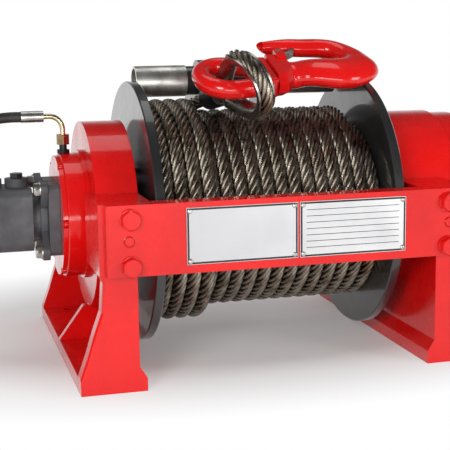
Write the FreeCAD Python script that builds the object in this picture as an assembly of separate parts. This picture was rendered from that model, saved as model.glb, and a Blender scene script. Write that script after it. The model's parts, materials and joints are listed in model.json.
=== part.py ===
import FreeCAD, Part

import math
import os

from FreeCAD import Matrix, Placement, Vector

# Hydraulic drum winch on two cast pedestals, in millimetres.
# X runs along the drum axis from the motor end to the gearbox end, Y away from the
# side with the name plates, Z up. The origin is the centre of the four foot bolts,
# on the mounting face.

# Rope and drum
rope_diameter = 20.0
turns_per_layer = 16.5
layers = 4
raised_turns = 4
raised_turn_end = 1.5
axis_height = 207.0
barrel_radius = 75.0
drum_flange_radius = 191.0
drum_flange_thickness = 14.0
drum_flange_chamfer = 1.5
journal_radius = 65.0
journal_length = 30.0
running_clearance = 0.05
seat_gap = 0.3

# Pedestal castings
half_depth = 221.0
foot_outer_x = 291.0
foot_inner_x = 202.0
foot_thickness = 20.0
foot_lip_height = 34.0
flange_thickness = 22.0
flange_edge_radius = 5.0
flange_waist_x = 258.0
flange_waist_z = 149.0
flange_toe_rise = 4.0
flange_knuckle_inset = 10.0
flange_knuckle_z = 51.0
flange_shoulder_inset = 19.5
flange_shoulder_z = 81.0
flange_neck_flare = 3.0
flange_neck_z = 110.0
web_flare = 3.0
foot_toe_drop = 2.0
rib_inset = 5.0
rib_top_z = 70.0
journal_end_room = 2.0
bolt_head_room = 20.0
cut_margin = 1.0
web_inner_x = 212.0
web_thickness = 14.0
rib_thickness = 12.0
foot_hole_radius = 10.0
foot_hole_x = 250.0
foot_hole_y = 180.0
housing_gap = 12.0
barrel_housing_radius = 135.0
motor_end_housing_x = 249.0
gear_end_housing_x = 292.0
pad_outer_x = 262.0
pad_depth_y = 112.0

# Tie bars
tie_web_thickness = 14.0
tie_flange_thickness = 11.0
tie_depth = 29.0
tie_side_gap = 1.0
tie_bottom_z = 158.0
tie_height = 94.0
tie_half_length = 254.0

# Name plates
plate_thickness = 1.5
plate_width = 152.0
plate_height = 75.0
plate_middle_gap = 3.0
plate_joint_x = 3.0
plate_center_z = 207.0

# Brake housing and motor
brake_radius = 90.0
brake_flange_step = 4.0
brake_flange_length = 6.0
brake_edge = 1.5
brake_body_length = 33.0
brake_cover_length = 6.5
brake_cover_step = 3.0
brake_cover_notch_radius = 6.0
brake_cover_notches = 6
adapter_thickness = 16.0
adapter_width = 110.0
adapter_height = 102.0
adapter_corner = 8.0
motor_neck_radius = 34.0
motor_neck_length = 21.0
motor_body_side = 90.0
motor_body_length = 74.0
motor_corner = 14.0
motor_ring_radius = 48.0
motor_ring_length = 16.0
motor_cover_radius = 42.0
motor_cover_length = 20.0
port_boss_radius = 17.0
port_boss_height = 12.0
port_plug_size = 17.0
port_plug_height = 7.0
port_boss_offset = 19.0

# Brake line
brake_port_x = 274.5
union_radius = 5.5
union_height = 8.0
union_hex = 17.0
union_hex_height = 5.5
union_sink = 0.5
union_root = 3.0
union_hex_lift = 0.6
tube_nut_size = 17.0
tube_nut_height = 14.5
tube_radius = 3.8
tube_rise = 7.5
tube_bend = 19.0
tube_run = 8.0
hose_radius = 7.5
crimp_radius = 8.2
crimp_length = 32.0
lower_crimp_length = 24.0
port_adapter_radius = 6.5
port_adapter_height = 9.0
port_adapter_root = 22.0
port_hex_lift = 1.0
hose_bend_radius = 68.0

# Gearbox end
gear_cover_radius = 131.0
gear_cover_length = 52.0
gear_cover_round = 14.0
gear_cap_radius = 70.0
gear_cap_length = 12.0

# Press roller
press_y = 52.0
press_roller_gap = 6.8
press_radius = 23.5
press_wall = 4.0
press_sleeve_length = 78.0
press_pin_radius = 12.0
press_pin_recess = 18.0
press_bar_radius = 22.0
side_clearance = 7.0
press_arm_x = 55.0
press_arm_thickness = 12.0
press_arm_width = 30.0
press_arm_boss = 31.0
press_arm_knee_y = 250.0
press_arm_knee_z = 272.0
press_arm_knee_share = 0.6
press_foot_toe = 20.0
press_foot_width = 44.0
press_foot_thickness = 10.0
press_foot_margin = 9.0

# Rope end
rope_end_angle = 12.0
rope_end_rise = 11.0
rope_end_lean = 22.0
ferrule_radius = 18.0
ferrule_length = 42.0
ferrule_rear_x = -58.5
ferrule_rear_angle = 6.0
ferrule_gap = 1.0
eye_leg_offset = 10.3
eye_throat_radius = 30.0
eye_crown_radius = 43.0
eye_crown_distance = 74.0
thimble_gap = 0.2
thimble_plate = 3.0
thimble_start_v = 15.0
thimble_wrap = 130.0

# Rope tail from the winding to the ferrule
tail_x = -74.7
tail_lift = 0.62
tail_start_angle = 62.0
tail_end_angle = 14.0
tail_run = 14.0
tail_lead = 20.0

# Hook, in its own plane: u to the right, v to the rear, w up
hook_tilt = 22.0
hook_rise = 0.0
hook_seat = 18.4
ring_bar_radius = 13.5
ring_center_u = -44.0
ring_center_v = 3.5
ring_radius = 40.0
ring_corner_radius = 36.0
ring_leg_radius = 60.0
ring_neck_u = 8.0
ring_neck_half_width = 30.0
collar_half_width = 40.0
collar_length = 20.0
collar_half_height = 15.0
collar_setback = 2.0
collar_edge = 4.0
head_half_height = 18.0
head_side_half_height = 7.0
throat_u = 118.0
throat_v = 66.0
latch_pivot_u = 40.0
latch_pivot_v = 50.4
latch_tip_u = 82.0
latch_tip_v = 86.7
latch_plate = 3.0
latch_width = 34.0
latch_eye_radius = 7.0
latch_pin_radius = 4.0
latch_lug_thickness = 4.0
oval_points = 12

# Hook sections from the head to the tip: shank and nose as u, v, direction, half width and
# half height, bend as angle about the throat, inner and outer radius and half height
hook_shank = [(46.0, 8.0, 90.0, 25.0, 18.0), (66.0, 12.0, 86.0, 26.0, 17.5), (90.0, 15.0, 84.0, 29.0, 18.0)]
hook_bend = [(-90.0, 23.0, 89.0, 19.5), (-62.0, 24.0, 91.0, 19.5), (-34.0, 25.0, 86.0, 18.5),
             (-6.0, 26.0, 63.0, 17.0), (24.0, 24.0, 55.0, 15.2), (57.0, 23.0, 54.0, 14.5),
             (90.0, 23.0, 54.0, 14.0)]
hook_nose = [(92.0, 106.0, 268.0, 15.0, 13.5), (62.0, 108.5, 265.0, 13.0, 12.5),
             (36.0, 112.0, 262.0, 9.0, 8.5)]

# Outline of the hook's head: v of its face at the collar, and its corners, at the sides and on top
head_side = (-38.0, 46.0)
head_side_corners = [(34.0, -34.0), (50.0, -12.0), (54.0, 10.0), (48.0, 30.0), (36.0, 44.0)]
head_top = (-24.0, 44.0)
head_top_corners = [(30.0, -21.0), (43.0, -8.0), (48.0, 10.0), (44.0, 28.0), (34.0, 42.0)]
lug_root_depth = 21.0
lug_slot_reach = 20.0
hook_fuse_tolerance = 0.01

# Derived sizes
drum_half_width = turns_per_layer * rope_diameter / 2.0
layer_rise = rope_diameter * math.sqrt(3.0) / 2.0
rope_radius = rope_diameter / 2.0
top_layer_radius = barrel_radius + rope_radius + (layers - 1) * layer_rise
raised_layer_radius = top_layer_radius + layer_rise
drum_end_x = drum_half_width + drum_flange_thickness
housing_inner_x = drum_end_x + housing_gap
tie_top_z = tie_bottom_z + tie_height
tie_front_y = -half_depth - tie_web_thickness
press_level = raised_layer_radius + rope_radius + press_roller_gap + press_radius
press_z = axis_height + math.sqrt(press_level ** 2 - press_y ** 2)
brake_outer_x = motor_end_housing_x + brake_body_length
brake_flange_radius = brake_radius + brake_flange_step
brake_cover_radius = brake_radius - brake_cover_step
press_sleeve_x = drum_half_width - side_clearance
press_bar_x = press_sleeve_x - press_sleeve_length


def export(name, shape):
    shape.exportStep("parts/" + name + ".step")
    print(name, round(shape.Volume / 1000.0, 1), shape.isValid(), len(shape.Solids))


def fused(shapes):
    return shapes[0].multiFuse(shapes[1:]).removeSplitter()


def mirrored(shape):
    return shape.mirror(Vector(0, 0, 0), Vector(1, 0, 0))


def x_cylinder(radius, x0, x1, y=0.0, z=axis_height):
    return Part.makeCylinder(radius, x1 - x0, Vector(x0, y, z), Vector(1, 0, 0))


def z_cylinder(radius, z0, z1, x, y):
    return Part.makeCylinder(radius, z1 - z0, Vector(x, y, z0), Vector(0, 0, 1))


def block(x0, x1, y0, y1, z0, z1):
    return Part.makeBox(x1 - x0, y1 - y0, z1 - z0, Vector(x0, y0, z0))


def prism(points, direction):
    """Solid from a closed outline of points, extruded by a vector."""
    return Part.Face(Part.makePolygon(points + points[:1])).extrude(direction)


def x_turned(outline):
    """Solid turned about the drum axis from (x, radius) points."""
    points = [Vector(x, 0, axis_height + radius) for x, radius in outline]
    face = Part.Face(Part.makePolygon(points + points[:1]))
    return face.revolve(Vector(0, 0, axis_height), Vector(1, 0, 0), 360)


def hex_prism(center, across_flats, height, direction):
    """Hexagonal prism standing on center, along direction."""
    radius = across_flats / math.sqrt(3.0)
    axis = Vector(*direction)
    side = Vector(0, 1, 0) if abs(axis.y) < 0.5 else Vector(1, 0, 0)
    other = axis.cross(side)
    points = []
    for i in range(6):
        angle = math.radians(60 * i)
        points.append(center + side * (radius * math.cos(angle)) + other * (radius * math.sin(angle)))
    return prism(points, axis * height)


def flange_outline(y):
    """Outline of a pedestal's end flange, seen along Y, at the motor end."""
    outer = [(-foot_outer_x, 0.0), (-foot_outer_x, foot_thickness + flange_toe_rise)]
    lower = [(-(foot_outer_x - flange_knuckle_inset), flange_knuckle_z),
             (-(foot_outer_x - flange_shoulder_inset), flange_shoulder_z),
             (-(flange_waist_x + flange_neck_flare), flange_neck_z)]
    upper = [(-flange_waist_x, flange_waist_z), (-pad_outer_x, tie_bottom_z)]
    inner = [(-web_inner_x - web_flare, tie_bottom_z), (-web_inner_x, foot_lip_height)]
    foot = [(-foot_inner_x, foot_thickness - foot_toe_drop), (-foot_inner_x, 0.0)]
    return [Vector(x, y, z) for x, z in outer + lower + upper + inner + foot]


def end_flange(outer_y, inner_y):
    """One end flange of a pedestal, rounded along the outboard edge of its outer face."""
    flange = prism(flange_outline(outer_y), Vector(0, inner_y - outer_y, 0))
    outboard = []
    for edge in flange.Edges:
        box = edge.BoundBox
        on_face = abs(box.YMin - outer_y) < 0.01 and abs(box.YMax - outer_y) < 0.01
        if on_face and box.XMax < -flange_waist_x + 0.01 and box.ZMin > 1.0:
            outboard.append(edge)
    return flange.makeFillet(flange_edge_radius, outboard)


def pedestal(housing_outer_x):
    """One pedestal casting at the motor end: foot, two flanges, web, rib and bearing housing."""
    foot_profile = [(-foot_outer_x, 0.0), (-foot_outer_x, foot_thickness),
                    (-web_inner_x - web_thickness, foot_thickness),
                    (-web_inner_x, foot_lip_height), (-foot_inner_x, foot_thickness - foot_toe_drop),
                    (-foot_inner_x, 0.0)]
    foot = prism([Vector(x, -half_depth, z) for x, z in foot_profile], Vector(0, 2 * half_depth, 0))
    front = end_flange(-half_depth, flange_thickness - half_depth)
    rear = end_flange(half_depth, half_depth - flange_thickness)
    web = block(-web_inner_x - web_thickness, -web_inner_x, -half_depth, half_depth, 0.0, axis_height)
    rib_points = [(-foot_outer_x, 0.0), (-foot_outer_x, foot_thickness),
                  (-motor_end_housing_x - rib_inset, rib_top_z),
                  (-web_inner_x, rib_top_z), (-web_inner_x, 0.0)]
    rib = prism([Vector(x, -rib_thickness / 2.0, z) for x, z in rib_points], Vector(0, rib_thickness, 0))
    pads = []
    for y0, y1 in ((-half_depth, -pad_depth_y), (pad_depth_y, half_depth)):
        pads.append(block(-pad_outer_x, -housing_inner_x, y0, y1, tie_bottom_z, tie_top_z))
    housing = x_cylinder(barrel_housing_radius, -housing_outer_x, -housing_inner_x)
    body = fused([foot, front, rear, web, rib, housing] + pads)
    bore_end_x = drum_end_x + journal_length + journal_end_room
    bore = x_cylinder(journal_radius + running_clearance, -bore_end_x, -housing_inner_x + cut_margin)
    body = body.cut(bore)
    for y in (-foot_hole_y, foot_hole_y):
        body = body.cut(z_cylinder(foot_hole_radius, -cut_margin, foot_thickness + bolt_head_room,
                                   -foot_hole_x, y))
    return body


def drum_barrel():
    end = drum_end_x + journal_length
    return x_turned([(-end, 0.0), (-end, journal_radius), (-drum_end_x, journal_radius),
                     (-drum_end_x, barrel_radius), (drum_end_x, barrel_radius), (drum_end_x, journal_radius),
                     (end, journal_radius), (end, 0.0)])


def drum_flange():
    """Flange at the motor end."""
    outer = drum_flange_radius
    cut = drum_flange_chamfer
    return x_turned([(-drum_end_x, barrel_radius), (-drum_end_x, outer - cut), (-drum_end_x + cut, outer),
                     (-drum_half_width - cut, outer), (-drum_half_width, outer - cut),
                     (-drum_half_width, barrel_radius)])


def rope_winding():
    """The wound rope: a turned body with one bulge for each turn that shows."""
    level = axis_height + top_layer_radius
    raised = axis_height + raised_layer_radius
    edges = []
    x = -drum_half_width
    start = Vector(x, 0, axis_height + barrel_radius)
    previous = Vector(x, 0, raised)
    edges.append(Part.makeLine(start, previous))
    for i in range(raised_turns):
        crest = Vector(x + rope_radius, 0, raised + rope_radius)
        last = Vector(x + rope_diameter, 0, raised)
        if i == raised_turns - 1:
            last = Vector(x + rope_radius * raised_turn_end, 0, (level + raised) / 2.0)
        edges.append(Part.Arc(previous, crest, last).toShape())
        previous = last
        x = x + rope_diameter
    crests = int(round((drum_half_width - x) / rope_diameter))
    for i in range(crests):
        crest = Vector(x, 0, level + rope_radius)
        last = Vector(x + rope_radius, 0, level)
        edges.append(Part.Arc(previous, crest, last).toShape())
        previous = last
        x = x + rope_diameter
    end = Vector(drum_half_width, 0, axis_height + barrel_radius)
    edges.append(Part.makeLine(previous, Vector(drum_half_width, 0, previous.z)))
    edges.append(Part.makeLine(Vector(drum_half_width, 0, previous.z), end))
    edges.append(Part.makeLine(end, start))
    face = Part.Face(Part.Wire([e for e in edges if e.Length > 1e-6]))
    return face.revolve(Vector(0, 0, axis_height), Vector(1, 0, 0), 360)


def rounded_path(points, radii):
    """Wire of straight runs joined by tangent arcs; a radius of None takes the largest arc."""
    vectors = [Vector(*p) for p in points]
    edges = []
    start = vectors[0]
    used = []
    for before, corner, after, wanted in zip(vectors, vectors[1:], vectors[2:], radii):
        incoming = corner - before
        outgoing = after - corner
        turn = incoming.getAngle(outgoing)
        trim = 0.45 * min(incoming.Length, outgoing.Length)
        if wanted is not None:
            trim = wanted * math.tan(turn / 2.0)
        bend = trim / math.tan(turn / 2.0)
        used.append(round(bend, 1))
        incoming.normalize()
        outgoing.normalize()
        first = corner - incoming * trim
        last = corner + outgoing * trim
        inward = outgoing - incoming
        inward.normalize()
        middle = corner + inward * (bend / math.cos(turn / 2.0) - bend)
        if (first - start).Length > 1e-3:
            edges.append(Part.makeLine(start, first))
        edges.append(Part.Arc(first, middle, last).toShape())
        start = last
    if (vectors[-1] - start).Length > 1e-3:
        edges.append(Part.makeLine(start, vectors[-1]))
    return Part.Wire(edges), used


def tube(points, radii, radius, name):
    """Round solid along a rounded path."""
    path, used = rounded_path(points, radii)
    start = Vector(*points[0])
    section = Part.Wire([Part.makeCircle(radius, start, Vector(*points[1]) - start)])
    solid = path.makePipeShell([section], True, False)
    expected = path.Length * math.pi * radius ** 2
    ratio = round(solid.Volume / expected, 4)
    print(name, "length", round(path.Length, 1), "radii", used, "volume ratio", ratio)
    return solid


def tie_bar():
    """Front tie bar: a channel casting with its web on the pedestals' faces."""
    half = tie_half_length
    inner = housing_inner_x - tie_side_gap
    back = tie_front_y + tie_depth
    web = block(-half, half, tie_front_y, tie_front_y + tie_web_thickness, tie_bottom_z, tie_top_z)
    upper = block(-inner, inner, tie_front_y, back, tie_top_z - tie_flange_thickness, tie_top_z)
    lower = block(-inner, inner, tie_front_y, back, tie_bottom_z, tie_bottom_z + tie_flange_thickness)
    return fused([web, upper, lower])


def turned_at(center, radius, x0, x1):
    return Part.makeCylinder(radius, x1 - x0, Vector(x0, center[0], center[1]), Vector(1, 0, 0))


def press_bar():
    """Black bar across the drum with a pin at each end for a sleeve."""
    center = (press_y, press_z)
    bar = turned_at(center, press_bar_radius, -press_bar_x + seat_gap, press_bar_x - seat_gap)
    pin_end = press_sleeve_x - press_pin_recess
    pin = turned_at(center, press_pin_radius, -pin_end, pin_end)
    return fused([bar, pin])


def press_roller():
    """Left sleeve: a hollow roller with a hub that turns on the bar's pin."""
    center = (press_y, press_z)
    outer = turned_at(center, press_radius, -press_sleeve_x, -press_bar_x)
    hollow = turned_at(center, press_radius - press_wall,
                       -press_sleeve_x - cut_margin, -press_sleeve_x + press_pin_recess)
    bore = turned_at(center, press_pin_radius + running_clearance,
                     -press_sleeve_x - cut_margin, -press_bar_x + cut_margin)
    return outer.cut(hollow).cut(bore)


def press_arm():
    """Left arm: a boss round the bar, a flat arm down the rear and a foot on the rear tie bar."""
    x0 = -press_arm_x - press_arm_thickness / 2.0
    x1 = -press_arm_x + press_arm_thickness / 2.0
    half = press_arm_width / 2.0
    start = Vector(x0, press_y, press_z)
    knee = Vector(x0, press_arm_knee_y, press_arm_knee_z)
    along = knee - start
    along.normalize()
    across = Vector(0, -along.z, along.y) * half
    rear_y = half_depth + tie_web_thickness
    foot_top_z = tie_top_z - press_foot_margin
    foot_bottom_z = tie_bottom_z + press_foot_margin
    back_y = press_arm_knee_y + half
    outline = [start - across, start + across,
               Vector(x0, back_y, press_arm_knee_z + half * press_arm_knee_share),
               Vector(x0, back_y, foot_bottom_z + press_foot_toe),
               Vector(x0, rear_y + press_foot_thickness, foot_bottom_z),
               Vector(x0, rear_y, foot_bottom_z), Vector(x0, rear_y, press_arm_knee_z - half)]
    arm = prism(outline, Vector(press_arm_thickness, 0, 0))
    boss = turned_at((press_y, press_z), press_arm_boss, x0, x1)
    foot = block(-press_arm_x - press_foot_width / 2.0, -press_arm_x + press_foot_width / 2.0,
                 rear_y, rear_y + press_foot_thickness, foot_bottom_z, foot_top_z)
    body = fused([arm, boss, foot])
    return body.cut(turned_at((press_y, press_z), press_bar_radius, x0 - cut_margin, x1 + cut_margin))


# Frame of the rope's eye: along from the ferrule to the crown, across from the lower leg to the upper
eye_turn = math.radians(rope_end_angle)
eye_rise = math.radians(rope_end_rise)
eye_lean = math.radians(rope_end_lean)
eye_along = Vector(math.sin(eye_turn) * math.cos(eye_rise), -math.cos(eye_turn) * math.cos(eye_rise),
                   math.sin(eye_rise))
eye_side = eye_along.cross(Vector(0, 0, 1))
eye_side.normalize()
eye_across = eye_side.cross(eye_along) * math.cos(eye_lean) + eye_side * math.sin(eye_lean)
ferrule_level = top_layer_radius + rope_radius + ferrule_gap + ferrule_radius
ferrule_turn = math.radians(ferrule_rear_angle)
ferrule_rear = Vector(ferrule_rear_x, -ferrule_level * math.sin(ferrule_turn),
                      axis_height + ferrule_level * math.cos(ferrule_turn))
ferrule_front = ferrule_rear + eye_along * ferrule_length


def in_eye(u, v):
    return ferrule_front + eye_along * u + eye_across * v


# Angle by which the eye's legs spread, so that they run tangent to the crown
leg_center = eye_leg_offset + eye_throat_radius
leg_reach = math.hypot(eye_crown_distance, leg_center)
leg_spread = (math.atan2(eye_crown_distance, leg_center)
              - math.acos((eye_crown_radius + eye_throat_radius) / leg_reach))
leg_bend_u = eye_throat_radius * math.tan(leg_spread / 2.0)
crown_u = eye_crown_distance + eye_crown_radius
crown_v = eye_leg_offset + (crown_u - leg_bend_u) * math.tan(leg_spread)


def eye_points():
    """Corners and radii of the eye's centre line, from the lower leg round to the upper."""
    corners = [(0.0, -eye_leg_offset), (leg_bend_u, -eye_leg_offset), (crown_u, -crown_v),
               (crown_u, crown_v), (leg_bend_u, eye_leg_offset), (0.0, eye_leg_offset)]
    radii = [eye_throat_radius, eye_crown_radius, eye_crown_radius, eye_throat_radius]
    return [in_eye(u, v) for u, v in corners], radii


def thimble():
    """Channel that lines the inside of the eye, swept along the rope's centre line."""
    start_u = leg_bend_u + (thimble_start_v - eye_leg_offset) / math.tan(leg_spread)
    corners = [(start_u, -thimble_start_v), (crown_u, -crown_v),
               (crown_u, crown_v), (start_u, thimble_start_v)]
    path = rounded_path([in_eye(u, v) for u, v in corners], [eye_crown_radius, eye_crown_radius])[0]
    inner = rope_radius + thimble_gap
    outer = inner + thimble_plate
    inward = eye_along * math.sin(leg_spread) + eye_across * math.cos(leg_spread)
    normal = eye_along.cross(eye_across)
    start = in_eye(*corners[0])

    def at(radius, degrees):
        turn = math.radians(degrees)
        return start + inward * (radius * math.cos(turn)) + normal * (radius * math.sin(turn))

    spread = thimble_wrap / 2.0
    section = Part.Wire([Part.Arc(at(inner, -spread), at(inner, 0), at(inner, spread)).toShape(),
                         Part.makeLine(at(inner, spread), at(outer, spread)),
                         Part.Arc(at(outer, spread), at(outer, 0), at(outer, -spread)).toShape(),
                         Part.makeLine(at(outer, -spread), at(inner, -spread))])
    return path.makePipeShell([section], True, False)


# Frame of the hook
hook_turn = math.radians(hook_tilt)
hook_lift = math.radians(hook_rise)
hook_u = Vector(math.cos(hook_lift), 0, math.sin(hook_lift))
hook_flat_w = Vector(-math.sin(hook_lift), 0, math.cos(hook_lift))
hook_v = Vector(0, 1, 0) * math.cos(hook_turn) + hook_flat_w * math.sin(hook_turn)
hook_w = hook_u.cross(hook_v)
flange_top = Vector(0, -drum_flange_radius * math.sin(hook_turn),
                    axis_height + drum_flange_radius * math.cos(hook_turn))
hook_center = flange_top + hook_w * hook_seat


def in_hook(u, v, w=0.0):
    return hook_center + hook_u * u + hook_v * v + hook_w * w


def placed_in_hook(shape):
    """Moves a shape that was drawn with X, Y, Z for u, v, w into the hook's plane."""
    matrix = Matrix(hook_u.x, hook_v.x, hook_w.x, hook_center.x,
                    hook_u.y, hook_v.y, hook_w.y, hook_center.y,
                    hook_u.z, hook_v.z, hook_w.z, hook_center.z,
                    0.0, 0.0, 0.0, 1.0)
    placed = shape.copy()
    placed.Placement = Placement(matrix)
    return placed


def oval(center, across, half_across, half_up):
    """Oval section wire in the plane of across and W, as a closed spline."""
    points = []
    for i in range(oval_points):
        turn = 2.0 * math.pi * i / oval_points
        sideways = across * (half_across * math.cos(turn))
        points.append(center + sideways + Vector(0, 0, half_up * math.sin(turn)))
    curve = Part.BSplineCurve()
    curve.interpolate(Points=points, PeriodicFlag=True)
    return Part.Wire([curve.toShape()])


def hook_body():
    """The hook lofted through oval sections along its shank, its bend and its nose."""
    around = []
    for degrees, inner, outer, half_up in hook_bend:
        turn = math.radians(degrees)
        middle = (inner + outer) / 2.0
        around.append((throat_u + middle * math.cos(turn), throat_v + middle * math.sin(turn),
                       degrees + 180.0, (outer - inner) / 2.0, half_up))
    wires = []
    for u, v, degrees, half_across, half_up in hook_shank + around + hook_nose:
        turn = math.radians(degrees)
        wires.append(oval(Vector(u, v, 0), Vector(math.cos(turn), math.sin(turn), 0), half_across, half_up))
    return Part.makeLoft(wires, True, False)


def hook_head():
    """Head of the hook in its own plane, from the swivel's collar to the shank, bevelled above and below."""
    u0 = collar_length - collar_setback + seat_gap
    middle = [(u0, head_side[0])] + head_side_corners + [(u0, head_side[1])]
    flat = [(u0, head_top[0])] + head_top_corners + [(u0, head_top[1])]
    levels = [(-head_half_height, flat), (-head_side_half_height, middle),
              (head_side_half_height, middle), (head_half_height, flat)]
    wires = []
    for w, outline in levels:
        points = [Vector(u, v, w) for u, v in outline]
        wires.append(Part.makePolygon(points + points[:1]))
    return Part.makeLoft(wires, True, True)


def w_cylinder(radius, half_length, u, v):
    return Part.makeCylinder(radius, 2 * half_length, Vector(u, v, -half_length), Vector(0, 0, 1))


def latch_lugs():
    """Pair of lugs behind the hook's head that carry the latch pin."""
    inner = latch_width / 2.0 + seat_gap
    outer = inner + latch_lug_thickness
    root_v = latch_pivot_v - lug_root_depth
    front_u = latch_pivot_u - latch_eye_radius
    back_u = latch_pivot_u + latch_eye_radius
    outline = [Vector(front_u, root_v, -outer), Vector(back_u, root_v, -outer),
               Vector(back_u, latch_pivot_v, -outer), Vector(front_u, latch_pivot_v, -outer)]
    boss = w_cylinder(latch_eye_radius, outer, latch_pivot_u, latch_pivot_v)
    body = fused([prism(outline, Vector(0, 0, 2 * outer)), boss])
    slot = block(latch_pivot_u - lug_slot_reach, latch_pivot_u + lug_slot_reach,
                 latch_pivot_v - latch_eye_radius - cut_margin, latch_pivot_v + lug_slot_reach, -inner, inner)
    return body.cut(slot)


def latch():
    """Sprung latch: a plate with a rolled eye on the pin."""
    pivot = Vector(latch_pivot_u, latch_pivot_v, 0)
    along = Vector(latch_tip_u, latch_tip_v, 0) - pivot
    length = along.Length
    along.normalize()
    across = Vector(-along.y, along.x, 0)
    half = latch_width / 2.0
    lower = pivot + across * (latch_eye_radius - latch_plate)
    tip = lower + along * length
    outline = [lower, tip, tip + across * latch_plate, lower + across * latch_plate]
    plate = prism([Vector(q.x, q.y, -half) for q in outline], Vector(0, 0, latch_width))
    body = fused([plate, w_cylinder(latch_eye_radius, half, latch_pivot_u, latch_pivot_v)])
    bore = w_cylinder(latch_pin_radius + running_clearance, half + cut_margin, latch_pivot_u, latch_pivot_v)
    return body.cut(bore)


def swivel_ring():
    """Ring of round bar with its neck, in the hook's plane."""
    left = ring_center_u - ring_radius
    outline = [(ring_neck_u, -ring_neck_half_width), (ring_center_u, -ring_radius), (left, -ring_radius),
               (left, ring_radius), (ring_center_u, ring_radius), (ring_neck_u, ring_neck_half_width)]
    points = [(u, v + ring_center_v, 0) for u, v in outline]
    radii = [ring_leg_radius, ring_corner_radius, ring_corner_radius, ring_leg_radius]
    path = rounded_path(points, radii)[0]
    start = Vector(*points[0])
    section = Part.Wire([Part.makeCircle(ring_bar_radius, start, Vector(*points[1]) - start)])
    bow = path.makePipeShell([section], True, False)
    front = -collar_half_width + ring_center_v
    back = collar_half_width + ring_center_v
    collar = block(-collar_setback, collar_length - collar_setback, front, back,
                   -collar_half_height, collar_half_height)
    collar = collar.makeFillet(collar_edge, collar.Edges)
    return fused([bow, collar])


os.makedirs("parts", exist_ok=True)

# Frame
export("left_pedestal", pedestal(motor_end_housing_x))
export("right_pedestal", mirrored(pedestal(gear_end_housing_x)))
export("front_tie_bar", tie_bar())
export("rear_tie_bar", tie_bar().mirror(Vector(0, 0, 0), Vector(0, 1, 0)))

# Name plates
plate_y = tie_front_y - plate_thickness
plate_z = plate_center_z - plate_height / 2.0
left_plate_x = plate_joint_x - plate_width
export("left_name_plate", block(left_plate_x, left_plate_x + plate_width, plate_y, tie_front_y,
                                plate_z, plate_z + plate_height))
right_plate_x = left_plate_x + plate_width + plate_middle_gap
export("right_name_plate", block(right_plate_x, right_plate_x + plate_width, plate_y, tie_front_y,
                                 plate_z, plate_z + plate_height))

# Drum
export("drum_barrel", drum_barrel())
export("left_drum_flange", drum_flange())
export("right_drum_flange", mirrored(drum_flange()))
export("rope_winding", rope_winding())

# Brake housing
flange_end_x = motor_end_housing_x + brake_flange_length
export("brake_housing", x_turned([(-brake_outer_x, 0.0), (-brake_outer_x, brake_radius - brake_edge),
                                  (-brake_outer_x + brake_edge, brake_radius), (-flange_end_x, brake_radius),
                                  (-flange_end_x, brake_flange_radius),
                                  (-motor_end_housing_x, brake_flange_radius),
                                  (-motor_end_housing_x, 0.0)]))
cover_outer_x = brake_outer_x + brake_cover_length
cover = x_cylinder(brake_cover_radius, -cover_outer_x, -brake_outer_x)
for i in range(brake_cover_notches):
    turn = math.radians(360.0 * i / brake_cover_notches)
    notch = x_cylinder(brake_cover_notch_radius, -cover_outer_x - cut_margin, -brake_outer_x + cut_margin,
                       brake_cover_radius * math.cos(turn), axis_height + brake_cover_radius * math.sin(turn))
    cover = cover.cut(notch)
export("brake_end_cover", cover)

# Motor
adapter_outer_x = cover_outer_x + adapter_thickness
adapter = block(-adapter_outer_x, -cover_outer_x, -adapter_width / 2.0, adapter_width / 2.0,
                axis_height - adapter_height / 2.0, axis_height + adapter_height / 2.0)
adapter_edges = [e for e in adapter.Edges if abs(e.tangentAt(e.FirstParameter).x) > 0.9]
export("motor_adapter_plate", adapter.makeFillet(adapter_corner, adapter_edges))
neck_outer_x = adapter_outer_x + motor_neck_length
body_outer_x = neck_outer_x + motor_body_length
half_side = motor_body_side / 2.0
motor_block = block(-body_outer_x, -neck_outer_x, -half_side, half_side,
                    axis_height - half_side, axis_height + half_side)
motor_edges = [e for e in motor_block.Edges if abs(e.tangentAt(e.FirstParameter).x) > 0.9]
motor_block = motor_block.makeFillet(motor_corner, motor_edges)
motor_neck = x_cylinder(motor_neck_radius, -neck_outer_x, -adapter_outer_x)
port_top_z = axis_height + half_side + port_boss_height
port_x = -(neck_outer_x + motor_body_length / 2.0)
ports = []
for offset in (-port_boss_offset, port_boss_offset):
    ports.append(z_cylinder(port_boss_radius, axis_height, port_top_z, port_x + offset, 0.0))
export("motor_housing", fused([motor_block, motor_neck] + ports))
plugs = []
for offset in (-port_boss_offset, port_boss_offset):
    place = Vector(port_x + offset, 0.0, port_top_z)
    plugs.append(hex_prism(place, port_plug_size, port_plug_height, (0, 0, 1)))
export("motor_port_plugs", Part.makeCompound(plugs))
ring_outer_x = body_outer_x + motor_ring_length
export("motor_gear_ring", x_cylinder(motor_ring_radius, -ring_outer_x, -body_outer_x))
motor_end_x = ring_outer_x + motor_cover_length
export("motor_end_cover", x_cylinder(motor_cover_radius, -motor_end_x, -ring_outer_x))

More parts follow.
